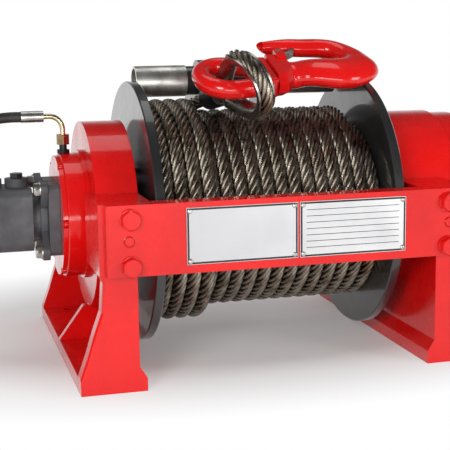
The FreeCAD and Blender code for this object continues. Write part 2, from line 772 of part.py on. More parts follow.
# Brake line
brake_top_z = axis_height + math.sqrt(brake_radius ** 2 - union_radius ** 2) - union_sink
nut_z = brake_top_z + union_hex_height + union_height
union = fused([z_cylinder(union_radius, brake_top_z - union_root, nut_z, -brake_port_x, 0.0),
               hex_prism(Vector(-brake_port_x, 0.0, brake_top_z + union_hex_lift), union_hex,
                         union_hex_height, (0, 0, 1))])
union = union.cut(x_cylinder(brake_radius, -brake_outer_x, -motor_end_housing_x))
export("brake_union", union)
export("tube_nut", hex_prism(Vector(-brake_port_x, 0.0, nut_z), tube_nut_size, tube_nut_height, (0, 0, 1)))
tube_z = nut_z + tube_nut_height
bend_z = tube_z + tube_rise
start = Vector(-brake_port_x, 0, tube_z)
bend_start = Vector(-brake_port_x, 0, bend_z)
bend_middle = Vector(-brake_port_x - tube_bend * (1 - math.cos(math.pi / 4)), 0,
                     bend_z + tube_bend * math.sin(math.pi / 4))
bend_end = Vector(-brake_port_x - tube_bend, 0, bend_z + tube_bend)
run_end = bend_end + Vector(-tube_run, 0, 0)
elbow_path = Part.Wire([Part.makeLine(start, bend_start),
                        Part.Arc(bend_start, bend_middle, bend_end).toShape(),
                        Part.makeLine(bend_end, run_end)])
elbow_section = Part.Wire([Part.makeCircle(tube_radius, start, Vector(0, 0, 1))])
export("brake_elbow_tube", elbow_path.makePipeShell([elbow_section], True, False))
crimp_end_x = run_end.x - crimp_length
export("hose_crimp_brake", x_cylinder(crimp_radius, crimp_end_x, run_end.x, 0.0, run_end.z))
port_base_z = axis_height + motor_cover_radius
cover_port_x = -(ring_outer_x + motor_cover_length / 2.0)
port_adapter = fused([z_cylinder(port_adapter_radius, port_base_z - port_adapter_root,
                                 port_base_z + port_adapter_height, cover_port_x, 0.0),
                      hex_prism(Vector(cover_port_x, 0.0, port_base_z + port_hex_lift), union_hex,
                                union_hex_height, (0, 0, 1))])
port_adapter = port_adapter.cut(x_cylinder(motor_cover_radius, -motor_end_x, -ring_outer_x))
export("hose_port_adapter", port_adapter)
crimp_base_z = port_base_z + port_adapter_height
crimp_top_z = crimp_base_z + lower_crimp_length
hose_points = [(crimp_end_x, 0, run_end.z), (cover_port_x, 0, run_end.z), (cover_port_x, 0, crimp_top_z)]
export("brake_hose", tube(hose_points, [hose_bend_radius], hose_radius, "brake_hose"))
export("hose_crimp_motor", z_cylinder(crimp_radius, crimp_base_z, crimp_top_z, cover_port_x, 0.0))

# Gearbox end
cover_outer = gear_end_housing_x + gear_cover_length
gear_cover = x_cylinder(gear_cover_radius, gear_end_housing_x, cover_outer)
rim = [e for e in gear_cover.Edges
       if e.Curve.TypeId == "Part::GeomCircle" and e.CenterOfMass.x > cover_outer - cut_margin]
export("gearbox_cover", gear_cover.makeFillet(gear_cover_round, rim))
export("gearbox_end_cap", x_cylinder(gear_cap_radius, cover_outer, cover_outer + gear_cap_length))

# Press roller
export("press_bar", press_bar())
export("left_press_arm", press_arm())
export("right_press_arm", mirrored(press_arm()))
export("left_press_roller", press_roller())
export("right_press_roller", mirrored(press_roller()))

# Rope end
tail_level = raised_layer_radius + tail_lift
tail_corner_angle = math.radians((tail_start_angle + tail_end_angle) / 2.0)
tail_half_turn = math.radians((tail_start_angle - tail_end_angle) / 2.0)
tail_end = math.radians(tail_end_angle)
tail_start = math.radians(tail_start_angle)
corner_radius = tail_level / math.cos(tail_half_turn)
tail_points = [Vector(tail_x, tail_level * math.sin(tail_start),
                      axis_height + tail_level * math.cos(tail_start)),
               Vector(tail_x, corner_radius * math.sin(tail_corner_angle),
                      axis_height + corner_radius * math.cos(tail_corner_angle))]
leaving = Vector(tail_x, tail_level * math.sin(tail_end), axis_height + tail_level * math.cos(tail_end))
tail_points.append(leaving + Vector(0, -math.cos(tail_end), math.sin(tail_end)) * tail_run)
tail_points.append(ferrule_rear - eye_along * tail_lead)
tail_points.append(ferrule_rear)
export("rope_tail", tube(tail_points, [tail_level, None, None], rope_radius, "rope_tail"))
export("rope_ferrule", Part.makeCylinder(ferrule_radius, ferrule_length, ferrule_rear, eye_along))
points, radii = eye_points()
export("rope_eye", tube(points, radii, rope_radius, "rope_eye"))
export("rope_thimble", thimble())

# Hook
export("swivel_ring", placed_in_hook(swivel_ring()))
pin_half = latch_width / 2.0 + seat_gap + latch_lug_thickness
latch_pin = w_cylinder(latch_pin_radius, pin_half, latch_pivot_u, latch_pivot_v)
hook = hook_body().multiFuse([hook_head(), latch_lugs()], hook_fuse_tolerance).cut(latch_pin)
export("hook", placed_in_hook(hook))
export("latch_pin", placed_in_hook(latch_pin))
export("hook_latch", placed_in_hook(latch()))
print("latch pivot", in_hook(latch_pivot_u, latch_pivot_v), "axis", hook_w)
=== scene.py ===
import json
import math

import bmesh
import bpy
import numpy as np
from mathutils import Matrix, Vector


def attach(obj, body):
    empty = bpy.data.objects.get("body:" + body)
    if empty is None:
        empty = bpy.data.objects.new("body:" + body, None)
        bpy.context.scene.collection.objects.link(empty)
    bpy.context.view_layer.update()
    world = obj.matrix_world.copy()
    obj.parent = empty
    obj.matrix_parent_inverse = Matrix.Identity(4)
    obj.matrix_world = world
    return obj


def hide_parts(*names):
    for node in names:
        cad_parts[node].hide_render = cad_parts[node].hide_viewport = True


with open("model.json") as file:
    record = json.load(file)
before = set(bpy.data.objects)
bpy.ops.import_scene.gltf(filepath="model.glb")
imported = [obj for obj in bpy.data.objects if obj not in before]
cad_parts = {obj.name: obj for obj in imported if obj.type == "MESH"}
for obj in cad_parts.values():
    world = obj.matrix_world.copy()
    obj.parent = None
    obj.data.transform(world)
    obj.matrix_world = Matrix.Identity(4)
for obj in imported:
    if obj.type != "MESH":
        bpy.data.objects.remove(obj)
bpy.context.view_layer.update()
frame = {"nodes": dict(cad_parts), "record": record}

scene = bpy.context.scene
scene.view_settings.view_transform = "Standard"

# Camera at the photograph's angle
CAMERA_PLACE = Vector((-0.4850, -1.6452, 0.4726))
CAMERA_YAW = 0.26826
CAMERA_PITCH = 0.17150
CAMERA_ROLL = -0.01277
CAMERA_LENS = 90.94
SENSOR_WIDTH = 36.0
CAMERA_REACH = 100.0

forward = Vector((math.sin(CAMERA_YAW) * math.cos(CAMERA_PITCH),
                  math.cos(CAMERA_YAW) * math.cos(CAMERA_PITCH), -math.sin(CAMERA_PITCH)))
flat_right = Vector((math.cos(CAMERA_YAW), -math.sin(CAMERA_YAW), 0.0))
flat_up = flat_right.cross(forward)
right = flat_right * math.cos(CAMERA_ROLL) + flat_up * math.sin(CAMERA_ROLL)
up = flat_up * math.cos(CAMERA_ROLL) - flat_right * math.sin(CAMERA_ROLL)
camera_data = bpy.data.cameras.new("camera")
camera_data.lens = CAMERA_LENS
camera_data.sensor_width = SENSOR_WIDTH
camera_data.clip_end = CAMERA_REACH
camera = bpy.data.objects.new("camera", camera_data)
scene.collection.objects.link(camera)
facing = Matrix((right, up, -forward)).transposed().to_4x4()
camera.matrix_world = Matrix.Translation(CAMERA_PLACE) @ facing
scene.camera = camera

# Sizes shared with the solids, in metres
AXIS_Z = 0.207
ROPE_RADIUS = 0.010
LAYER_RISE = 0.0173
TOP_LEVEL = 0.13696
RAISED_LEVEL = 0.15428
DRUM_HALF = 0.165
BRAKE_FACE_X = -0.282
UNION_FOOT_TOP = 0.2968
ADAPTER_FACE_X = -0.3045
TIE_FACE_Y = -0.235
PLATE_FACE_Y = -0.2365
PLATE_BOTTOM = 0.1695
PLATE_TOP = 0.2445

# Make of the rope: strands, their lay, and the wires that show on each
STRANDS = 6
ROPE_LAY = 0.084
ROPE_STEP = 0.0042
STRAND_ANGLES = (-30.0, -19.0, -7.0, 7.0, 19.0)
STRAND_SPAN = 60.0
WIRES_ACROSS = 3.0
WIRE_PITCH = 0.0052

# Directions
FRONT = (0.0, -1.0, 0.0)
REAR = (0.0, 1.0, 0.0)
OUTBOARD = (-1.0, 0.0, 0.0)


# Materials
COAT_ROUGHNESS = 0.08
BEVEL_SAMPLES = 4
COLOR_INPUTS = (6, 7)
COLOR_OUTPUT = 2


class Nodes:
    """A node tree and the nodes that are added to it."""

    def __init__(self, tree):
        self.tree = tree

    def feed(self, socket, value):
        """Links a socket to an input, or sets the input's plain value."""
        if isinstance(value, bpy.types.NodeSocket):
            self.tree.links.new(value, socket)
        else:
            socket.default_value = value

    def node(self, kind, settings=(), **values):
        made = self.tree.nodes.new(kind)
        for key, value in dict(settings).items():
            setattr(made, key, value)
        for key, value in values.items():
            self.feed(made.inputs[key.replace("_", " ")], value)
        return made

    def span(self, value, low, high, to_low=0.0, to_high=1.0):
        made = self.node("ShaderNodeMapRange", Value=value, From_Min=low, From_Max=high,
                         To_Min=to_low, To_Max=to_high)
        return made.outputs["Result"]

    def math(self, operation, *values):
        made = self.node("ShaderNodeMath", {"operation": operation})
        for socket, value in zip(made.inputs, values):
            self.feed(socket, value)
        return made.outputs[0]

    def either(self, factor, first, second):
        """Mix of two plain values."""
        return self.node("ShaderNodeMix", Factor=factor, A=first, B=second).outputs["Result"]

    def mixed(self, factor, first, second):
        """Mix of two colours."""
        made = self.node("ShaderNodeMix", {"data_type": "RGBA"})
        self.feed(made.inputs[0], factor)
        for slot, value in zip(COLOR_INPUTS, (first, second)):
            self.feed(made.inputs[slot], (*value, 1.0) if isinstance(value, tuple) else value)
        return made.outputs[COLOR_OUTPUT]


class Look(Nodes):
    """A node material round one principled shader."""

    def __init__(self, name, color, roughness, metallic=0.0, specular=0.5, coat=0.0):
        self.material = bpy.data.materials.new(name)
        self.material.use_nodes = True
        super().__init__(self.material.node_tree)
        self.shader = self.tree.nodes["Principled BSDF"]
        self.shader.inputs["Base Color"].default_value = (*color, 1.0)
        self.shader.inputs["Roughness"].default_value = roughness
        self.shader.inputs["Metallic"].default_value = metallic
        self.shader.inputs["Specular IOR Level"].default_value = specular
        self.shader.inputs["Coat Weight"].default_value = coat
        self.shader.inputs["Coat Roughness"].default_value = COAT_ROUGHNESS
        self.place = self.node("ShaderNodeTexCoord").outputs["Object"]

    def noise(self, scale, detail=3.0, rough=0.5, place=None):
        made = self.node("ShaderNodeTexNoise", Scale=scale, Detail=detail, Roughness=rough,
                         Vector=place or self.place)
        return made.outputs["Fac"]

    def stretched(self, x, y, z):
        return self.node("ShaderNodeMapping", Vector=self.place, Scale=(x, y, z)).outputs["Vector"]

    def coordinate(self, axis):
        return self.node("ShaderNodeSeparateXYZ", Vector=self.place).outputs[axis]

    def color(self, value):
        self.feed(self.shader.inputs["Base Color"], value)

    def roughness(self, value):
        self.feed(self.shader.inputs["Roughness"], value)

    def bump(self, *layers, edge=0.0):
        """Layers of (height, strength, distance), over edges softened by a radius."""
        normal = None
        if edge:
            normal = self.node("ShaderNodeBevel", {"samples": BEVEL_SAMPLES}, Radius=edge).outputs["Normal"]
        for height, strength, distance in layers:
            made = self.node("ShaderNodeBump", Height=height, Strength=strength, Distance=distance)
            if normal is not None:
                self.tree.links.new(normal, made.inputs["Normal"])
            normal = made.outputs["Normal"]
        self.tree.links.new(normal, self.shader.inputs["Normal"])


def red_look(name, peel, grain, edge):
    """Glossy red paint with its orange peel and fine grain."""
    look = Look(name, (0.74, 0.006, 0.005), 0.32, specular=0.15, coat=0.8)
    tone = look.noise(9.0, 4.0)
    fine = look.noise(160.0, 2.0)
    base = look.mixed(look.span(tone, 0.35, 0.7), (0.76, 0.006, 0.005), (0.60, 0.004, 0.004))
    look.color(look.mixed(look.span(fine, 0.62, 0.8, 0.0, 0.25), base, (0.84, 0.012, 0.01)))
    look.roughness(look.span(look.noise(30.0, 3.0), 0.3, 0.7, 0.2, 0.36))
    look.bump((look.noise(75.0, 2.0), peel, 0.0012), (look.noise(420.0, 2.0), grain, 0.0005),
              edge=edge)
    return look.material


def black_look():
    """Satin black paint."""
    look = Look("black_paint", (0.014, 0.014, 0.015), 0.36, specular=0.5, coat=1.0)
    cloud = look.span(look.noise(14.0, 4.0), 0.4, 0.7)
    look.color(look.mixed(cloud, (0.012, 0.012, 0.013), (0.019, 0.019, 0.021)))
    look.roughness(look.span(look.noise(40.0, 4.0), 0.3, 0.7, 0.34, 0.42))
    look.bump((look.noise(260.0, 2.0), 0.25, 0.0004), edge=0.0012)
    return look.material


def rope_look():
    """Greased steel wires, with rust in places and painted shade between the wires."""
    look = Look("wire_rope", (0.3, 0.27, 0.24), 0.3, 1.0)
    uv = look.node("ShaderNodeTexCoord").outputs["UV"]
    wave = look.node("ShaderNodeTexWave", {"bands_direction": "X", "wave_profile": "SIN"}, Vector=uv,
                     Scale=1.0, Distortion=0.0)
    wire = wave.outputs["Fac"]
    grease = look.span(look.noise(48.0, 4.0, 0.6), 0.42, 0.66)
    clean = look.mixed(grease, (0.42, 0.375, 0.31), (0.15, 0.12, 0.085))
    rust = look.span(look.noise(23.0, 3.0), 0.6, 0.74, 0.0, 0.45)
    toned = look.mixed(rust, clean, (0.30, 0.15, 0.07))
    # Painted shade: the colour darkens in the grooves between the wires
    look.color(look.mixed(look.span(wire, 0.0, 0.3, 0.6, 0.0), toned, (0.05, 0.04, 0.03)))
    look.roughness(look.span(look.noise(140.0, 2.0), 0.3, 0.7, 0.22, 0.42))
    look.bump((wire, 0.4, 0.0003), (look.noise(500.0, 2.0), 0.25, 0.0003))
    return look.material


def cast_look():
    """Rough dark grey casting."""
    look = Look("grey_cast", (0.07, 0.072, 0.078), 0.5, specular=0.5)
    cloud = look.span(look.noise(26.0, 5.0), 0.35, 0.7)
    look.color(look.mixed(cloud, (0.085, 0.087, 0.094), (0.04, 0.041, 0.045)))
    look.roughness(look.span(look.noise(60.0, 3.0), 0.3, 0.7, 0.38, 0.62))
    look.bump((look.noise(320.0, 3.0), 0.5, 0.0006), (look.noise(60.0, 2.0), 0.3, 0.001), edge=0.0015)
    return look.material


def steel_look(name, color, roughness, streak, edge=0.0006):
    """Bare or plated steel, with tool marks stretched along one way."""
    look = Look(name, color, roughness, 1.0)
    lines = look.noise(1.0, 3.0, 0.6, look.stretched(*streak))
    worn = look.noise(45.0, 4.0)
    darker = tuple(c * 0.55 for c in color)
    look.color(look.mixed(look.span(worn, 0.45, 0.75), color, darker))
    look.roughness(look.span(lines, 0.3, 0.7, roughness * 0.8, roughness * 1.35))
    look.bump((lines, 0.18, 0.0003), edge=edge)
    return look.material


def paint_look(name, color, roughness, grain):
    """Plain paint of one colour."""
    look = Look(name, color, roughness)
    darker = tuple(c * 0.6 for c in color)
    look.color(look.mixed(look.span(look.noise(60.0, 3.0), 0.4, 0.7), color, darker))
    look.bump((look.noise(grain, 2.0), 0.3, 0.0004), edge=0.0005)
    return look.material


def union_look():
    """Black fitting with a brass foot."""
    look = Look("union", (0.02, 0.02, 0.022), 0.35, 0.6)
    foot = look.span(look.coordinate("Z"), UNION_FOOT_TOP - 0.0001, UNION_FOOT_TOP + 0.0001, 1.0, 0.0)
    look.color(look.mixed(foot, (0.022, 0.022, 0.026), (0.62, 0.42, 0.16)))
    look.bump((look.noise(300.0), 0.2, 0.0003), edge=0.0006)
    return look.material


def plate_look():
    """Brushed plate, with a painted reflection that brightens it towards its right end."""
    look = Look("name_plate", (0.72, 0.72, 0.73), 0.42, 0.55)
    lines = look.noise(1.0, 4.0, 0.6, look.stretched(30.0, 30.0, 900.0))
    cloud = look.noise(18.0, 3.0)
    # Painted reflection: the plates' colour grows lighter towards their right end
    across = look.span(look.coordinate("X"), -0.15, 0.16)
    clean = look.mixed(across, (0.50, 0.50, 0.51), (0.80, 0.80, 0.80))
    look.color(look.mixed(look.span(cloud, 0.35, 0.7, 0.0, 0.5), clean, (0.50, 0.50, 0.52)))
    look.roughness(look.span(lines, 0.3, 0.7, 0.34, 0.52))
    look.bump((lines, 0.12, 0.0002))
    return look.material


def hose_look():
    """Worn black hose cover."""
    look = Look("hose", (0.018, 0.018, 0.017), 0.5)
    cloud = look.span(look.noise(35.0, 3.0), 0.4, 0.7)
    look.color(look.mixed(cloud, (0.014, 0.014, 0.013), (0.04, 0.04, 0.036)))
    look.bump((look.noise(700.0, 2.0), 0.4, 0.0004))
    return look.material


red = red_look("red_paint", 0.22, 0.22, 0.0016)
red_forged = red_look("red_forged", 0.15, 0.1, 0.0)
black = black_look()
rope = rope_look()
cast = cast_look()
zinc = steel_look("zinc_steel", (0.62, 0.61, 0.56), 0.3, (30.0, 600.0, 600.0))
roller_steel = steel_look("roller_steel", (0.84, 0.83, 0.78), 0.36, (700.0, 40.0, 40.0))
yellow_zinc = steel_look("yellow_zinc", (0.72, 0.62, 0.38), 0.24, (200.0, 200.0, 200.0))
nut_metal = steel_look("nut_metal", (0.42, 0.27, 0.15), 0.3, (300.0, 300.0, 300.0))
thimble_steel = steel_look("thimble_steel", (0.40, 0.40, 0.36), 0.28, (90.0, 90.0, 90.0))
ferrule_steel = steel_look("ferrule_steel", (0.12, 0.125, 0.13), 0.42, (120.0, 120.0, 120.0))
latch_steel = steel_look("latch_steel", (0.34, 0.33, 0.30), 0.3, (200.0, 200.0, 200.0))
plug_black = paint_look("plug_black", (0.02, 0.02, 0.02), 0.4, 400.0)
plate = plate_look()
line_black = paint_look("line_black", (0.015, 0.015, 0.016), 0.5, 300.0)
union_metal = union_look()
hose_rubber = hose_look()

slots = {"red": red, "plate": plate, "black": black, "rope": rope, "motor": cast, "plug": plug_black,
         "brass": union_metal, "zinc": zinc, "rubber": hose_rubber, "ferrule": ferrule_steel,
         "hook_red": red_forged}
own = {"left_press_roller": roller_steel, "right_press_roller": roller_steel, "tube_nut": nut_metal,
       "brake_elbow_tube": yellow_zinc, "rope_thimble": thimble_steel}
for entry in frame["record"]["subparts"]:
    node = frame["nodes"][entry["node"]]
    node.data.materials.clear()
    node.data.materials.append(own.get(entry["node"], slots[entry["material_slot"]]))


# Making pieces
ROUTE_FINENESS = 16
HOSE_FINENESS = 32
HOSE_SIDES = 8


def piece(name, mesh, material, body):
    made = bpy.data.objects.new(name, mesh)
    scene.collection.objects.link(made)
    mesh.materials.append(material)
    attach(made, body)
    return made


def smooth(mesh, degrees):
    """Smooth shading, with edges sharp from an angle onward."""
    mesh.polygons.foreach_set("use_smooth", [True] * len(mesh.polygons))
    mesh.set_sharp_from_angle(angle=math.radians(degrees))


def spline_curve(name, points, fineness):
    """Object that holds a smooth spline with these control points."""
    curve = bpy.data.curves.new(name, "CURVE")
    curve.dimensions = "3D"
    spline = curve.splines.new("NURBS")
    spline.points.add(len(points) - 1)
    for point, place in zip(spline.points, points):
        point.co = (*place, 1.0)
    spline.order_u = 3
    spline.use_endpoint_u = True
    spline.resolution_u = fineness
    holder = bpy.data.objects.new(name, curve)
    scene.collection.objects.link(holder)
    return holder


def route_points(name, points):
    """The line of a smooth spline through its control points, as an array."""
    holder = spline_curve(name, points, ROUTE_FINENESS)
    bpy.context.view_layer.update()
    line = bpy.data.meshes.new_from_object(holder)
    found = np.array([v.co for v in line.vertices], float)
    bpy.data.objects.remove(holder)
    bpy.data.meshes.remove(line)
    return found


def evenly(line, step):
    """A line's points at even steps along it, and how far along each is."""
    runs = np.linalg.norm(np.diff(line, axis=0), axis=1)
    along = np.concatenate([[0.0], np.cumsum(runs)])
    count = max(2, int(round(along[-1] / step)) + 1)
    wanted = np.linspace(0.0, along[-1], count)
    return np.stack([np.interp(wanted, along, line[:, i]) for i in range(3)], axis=1), wanted


def lobed_section():
    """Polar outline of the rope's strands: (angle, radius, place across the strand)."""
    strand = ROPE_RADIUS / 3.0
    centre = ROPE_RADIUS - strand
    found = []
    for i in range(STRANDS):
        for degrees in STRAND_ANGLES:
            across = math.radians(degrees)
            inside = max(strand ** 2 - (centre * math.sin(across)) ** 2, 0.0)
            found.append((2.0 * math.pi * i / STRANDS + across,
                          centre * math.cos(across) + math.sqrt(inside), i + degrees / STRAND_SPAN))
    return found


def rope_mesh(name, line):
    """Six strands laid to the right round a line; gives the mesh and the rope's centre line."""
    centres, along = evenly(line, ROPE_STEP)
    tangents = np.gradient(centres, axis=0)
    tangents /= np.linalg.norm(tangents, axis=1)[:, None]
    normal = np.cross(tangents[0], [1.0, 0.0, 0.0])
    if np.linalg.norm(normal) < 0.3:
        normal = np.cross(tangents[0], [0.0, 1.0, 0.0])
    section = lobed_section()
    angles = np.array([s[0] for s in section])
    radii = np.array([s[1] for s in section])
    rings = []
    for centre, tangent, length in zip(centres, tangents, along):
        normal = normal - tangent * normal.dot(tangent)
        normal /= np.linalg.norm(normal)
        other = np.cross(tangent, normal)
        turned = angles + 2.0 * math.pi * length / ROPE_LAY
        spokes = np.cos(turned)[:, None] * normal + np.sin(turned)[:, None] * other
        rings.append(centre + radii[:, None] * spokes)
    vertices = np.concatenate(rings)
    count = len(section)
    faces = []
    wires = []
    for i in range(len(centres) - 1):
        for j in range(count):
            k = (j + 1) % count
            faces.append((i * count + j, i * count + k, (i + 1) * count + k, (i + 1) * count + j))
            here = section[j][2] * WIRES_ACROSS
            there = here + (section[k][2] - section[j][2]) % STRANDS * WIRES_ACROSS
            low = along[i] / WIRE_PITCH
            high = along[i + 1] / WIRE_PITCH
            wires.extend([(low + here, here), (low + there, there), (high + there, there),
                          (high + here, here)])
    faces.append(tuple(reversed(range(count))))
    faces.append(tuple(range((len(centres) - 1) * count, len(centres) * count)))
    wires.extend([(0.0, 0.0)] * (2 * count))
    mesh = bpy.data.meshes.new(name)
    mesh.from_pydata(vertices.tolist(), [], faces)
    layer = mesh.uv_layers.new(name="wires")
    layer.data.foreach_set("uv", np.array(wires, np.float32).ravel())
    smooth(mesh, 50.0)
    return mesh, centres


def eased(value):
    """Smooth step from 0 to 1."""
    value = min(max(value, 0.0), 1.0)
    return value * value * (3.0 - 2.0 * value)


# Rope tail from the winding into the ferrule
TAIL_X = -0.0747
TAIL_ROUTE = [(TAIL_X, 0.13677, 0.27972), (TAIL_X, 0.10439, 0.34062), (TAIL_X, 0.02389, 0.36069),
              (-0.06258, 0.00186, 0.36824), (-0.0585, -0.01735, 0.37205)]
mesh, line = rope_mesh("tail_strands", route_points("tail_route", TAIL_ROUTE))
tail = piece("tail_strands", mesh, rope, "frame")
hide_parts("rope_tail")

# Rope's eye round the thimble, in the plane of the eye
EYE_START = Vector((-0.0499281, -0.0576751, 0.3800663))
EYE_ALONG = Vector((0.2040918, -0.9601763, 0.1908090))
EYE_ACROSS = Vector((-0.4032032, 0.0951639, 0.9101489))
THIMBLE_INNER = 0.0103
THIMBLE_OUTER = 0.0132
THIMBLE_RIM = -0.0025
THIMBLE_INNER_LIP = 0.0004
THIMBLE_OUTER_LIP = 0.0008
THIMBLE_OPENING = 0.0150
THIMBLE_REACH = 0.06
THIMBLE_FACET = 15
EYE_ROUTE = [(0.0, -0.0103), (0.0085, -0.0103), (0.0651, -0.0449), (0.0964, -0.0400), (0.1170, -0.0159),
             (0.1170, 0.0159), (0.0964, 0.0400), (0.0651, 0.0449), (0.0085, 0.0103), (0.0, 0.0103)]
eye_points = [tuple(EYE_START + EYE_ALONG * u + EYE_ACROSS * v) for u, v in EYE_ROUTE]
mesh, line = rope_mesh("eye_strands", route_points("eye_route", eye_points))
eye = piece("eye_strands", mesh, rope, "frame")
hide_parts("rope_eye")


def thimble_mesh(name, line):
    """Channel that lines the eye on its inside, its rims standing up beside the rope."""
    normal = EYE_ALONG.cross(EYE_ACROSS)
    heights = [(Vector(p) - EYE_START).dot(EYE_ACROSS) for p in line]
    reach = [(Vector(p) - EYE_START).dot(EYE_ALONG) for p in line]
    kept = [i for i in range(len(line)) if abs(heights[i]) > THIMBLE_OPENING or reach[i] > THIMBLE_REACH]
    section = [(THIMBLE_RIM, -THIMBLE_INNER - THIMBLE_INNER_LIP)]
    for degrees in range(-90, 91, THIMBLE_FACET):
        turned = math.radians(degrees)
        section.append((THIMBLE_INNER * math.cos(turned), THIMBLE_INNER * math.sin(turned)))
    section.append((THIMBLE_RIM, THIMBLE_INNER + THIMBLE_INNER_LIP))
    section.append((THIMBLE_RIM, THIMBLE_OUTER + THIMBLE_OUTER_LIP))
    for degrees in range(90, -91, -THIMBLE_FACET):
        turned = math.radians(degrees)
        section.append((THIMBLE_OUTER * math.cos(turned), THIMBLE_OUTER * math.sin(turned)))
    section.append((THIMBLE_RIM, -THIMBLE_OUTER - THIMBLE_OUTER_LIP))
    vertices = []
    tangents = np.gradient(line, axis=0)
    for i in kept:
        tangent = Vector(tangents[i]).normalized()
        inward = normal.cross(tangent)
        for a, b in section:
            vertices.append(tuple(Vector(line[i]) + inward * a + normal * b))
    count = len(section)
    faces = [tuple(range(count)), tuple(reversed(range((len(kept) - 1) * count, len(kept) * count)))]
    for row in range(len(kept) - 1):
        for j in range(count):
            k = (j + 1) % count
            faces.append((row * count + k, row * count + j,
                          (row + 1) * count + j, (row + 1) * count + k))
    mesh = bpy.data.meshes.new(name)
    mesh.from_pydata(vertices, [], faces)
    smooth(mesh, 40.0)
    return mesh


thimble = piece("eye_thimble", thimble_mesh("eye_thimble", line), thimble_steel, "frame")
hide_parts("rope_thimble")

# Brake hose
HOSE_ROUTE = [(-0.3335, 0.0, 0.35083), (-0.4275, 0.0, 0.3545), (-0.4255, 0.0, 0.2820)]
HOSE_RADIUS = 0.0075
hose = spline_curve("hose_line", HOSE_ROUTE, HOSE_FINENESS)
hose.data.bevel_depth = HOSE_RADIUS
hose.data.bevel_resolution = HOSE_SIDES
hose.data.materials.append(hose_rubber)
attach(hose, "frame")
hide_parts("brake_hose")


# Wound rope: turns that show, with their cross-over at the rear
def around(x, radius, degrees):
    """Point of a turn, by its angle from the top towards the rear."""
    turned = math.radians(degrees)
    return (x, radius * math.sin(turned), AXIS_Z + radius * math.cos(turned))


def turns(x, level, cross_start, count, drop=0.0):
    """Turns that lie side by side and step over by one rope at the rear, from an angle onward."""
    found = []
    for step in range(0, int(360 * count), TURN_STEP):
        whole, part = divmod(step, 360)
        over = (part - cross_start) / CROSS_LENGTH
        shift = ROPE_PITCH * (whole + eased(over))
        sunk = drop * math.sin(math.pi * min(max(over, 0.0), 1.0)) ** 2
        found.append((step, x - shift, level - sunk))
    return found


# The last step-over leads to the tail and stays with the frame; the turns below go with the drum.
# Angles are in degrees: where a turn steps over, and how far it takes to rise or to sink
ROPE_PITCH = 2.0 * ROPE_RADIUS
TURN_STEP = 3
CROSS_LENGTH = 130.0
TAIL_ANGLE = 62.0
LEAD_END = 153
RAISED_CROSS = 20.0
RAISED_COUNT = 4.17
RAISED_SINK = 0.016
RAISED_SINK_START = 1440.0
RAISED_SINK_LENGTH = 60.0
FIRST_TURN_X = -0.1547
LAST_TURN_X = 0.1549
TOP_CROSS = 128.0
TOP_COUNT = 13
TOP_DROP = 0.0026
TOP_ANGLE = -20.0
TOP_RISE = 0.017
TOP_RISE_LENGTH = 75.0

lead_line = []
for step, x, level in turns(TAIL_X, RAISED_LEVEL, RAISED_CROSS, 1):
    if step <= LEAD_END:
        lead_line.append(around(x, level, TAIL_ANGLE + step))
raised_line = []
for step, x, level in turns(TAIL_X, RAISED_LEVEL, RAISED_CROSS, RAISED_COUNT):
    if step >= LEAD_END:
        sink = RAISED_SINK * eased((step - RAISED_SINK_START) / RAISED_SINK_LENGTH)
        raised_line.append(around(max(x, FIRST_TURN_X), level - sink, TAIL_ANGLE + step))
top_line = []
for step, x, level in turns(LAST_TURN_X, TOP_LEVEL, TOP_CROSS, TOP_COUNT, TOP_DROP):
    rise = TOP_RISE * (1.0 - eased(step / TOP_RISE_LENGTH))
    top_line.append(around(x, level - rise, TOP_ANGLE - step))


def wind(name, points, body):
    """Piece of rope along a line of points."""
    return piece(name, rope_mesh(name, np.array(points))[0], rope, body)


wind("rope_lead", lead_line, "frame")
raised_turns = wind("raised_turns", raised_line, "drum")
wind("top_turns", top_line, "drum")


def lathe(name, outline, sides, material, body):
    """Open turned surface about the drum axis from (x, radius) points."""
    vertices = []
    for x, radius in outline:
        for i in range(sides):
            vertices.append(around(x, radius, 360.0 * i / sides))
    faces = []
    for row in range(len(outline) - 1):
        for i in range(sides):
            k = (i + 1) % sides
            faces.append((row * sides + i, row * sides + k,
                          (row + 1) * sides + k, (row + 1) * sides + i))
    mesh = bpy.data.meshes.new(name)
    mesh.from_pydata(vertices, [], faces)
    mesh.update()
    smooth(mesh, 40.0)
    piece(name, mesh, material, body)


# The layer below the top one, which shows between its turns
BED_LEVEL = TOP_LEVEL - LAYER_RISE
BED_START_X = -0.155
BED_TURNS = 16
BED_SIDES = 96
bed = []
for i in range(BED_TURNS):
    for part in (-1.0, -0.6, -0.2, 0.2, 0.6):
        bulge = ROPE_RADIUS * math.sqrt(1.0 - part * part)
        bed.append((BED_START_X + ROPE_PITCH * i + ROPE_RADIUS * part, BED_LEVEL + bulge))
bed.append((DRUM_HALF, BED_LEVEL))
lathe("rope_bed", bed, BED_SIDES, rope, "drum")
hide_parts("rope_winding")


# Fasteners
WASHER_SIDES = 32
WASHER_STEPS = (0.0018, 0.0024)
WASHER_EDGE = 0.0006
HEAD_BASE = 0.0022
HEAD_SIDES = 24
CROWN_SHARE = 0.95
CROWN_DEPTH = 0.08
CORNER_DROP = 0.6
SCREW_SIDES = 28
SCREW_EDGE = 0.0006
SOCKET_RIM = 0.58
SOCKET_SHARE = 0.56
SOCKET_DEPTH = 0.7
DOME_SIDES = 20
DOME_STEPS = 6


def framed(place, axis):
    """Matrix that stands Z on an axis at a place."""
    turned = Vector((0, 0, 1)).rotation_difference(Vector(axis)).to_matrix().to_4x4()
    return Matrix.Translation(Vector(place)) @ turned


def add_rows(shape, rings):
    """Faces between closed rings of vertices, in a bmesh."""
    count = len(rings[0])
    for low, high in zip(rings, rings[1:]):
        for i in range(count):
            k = (i + 1) % count
            shape.faces.new((low[i], low[k], high[k], high[i]))


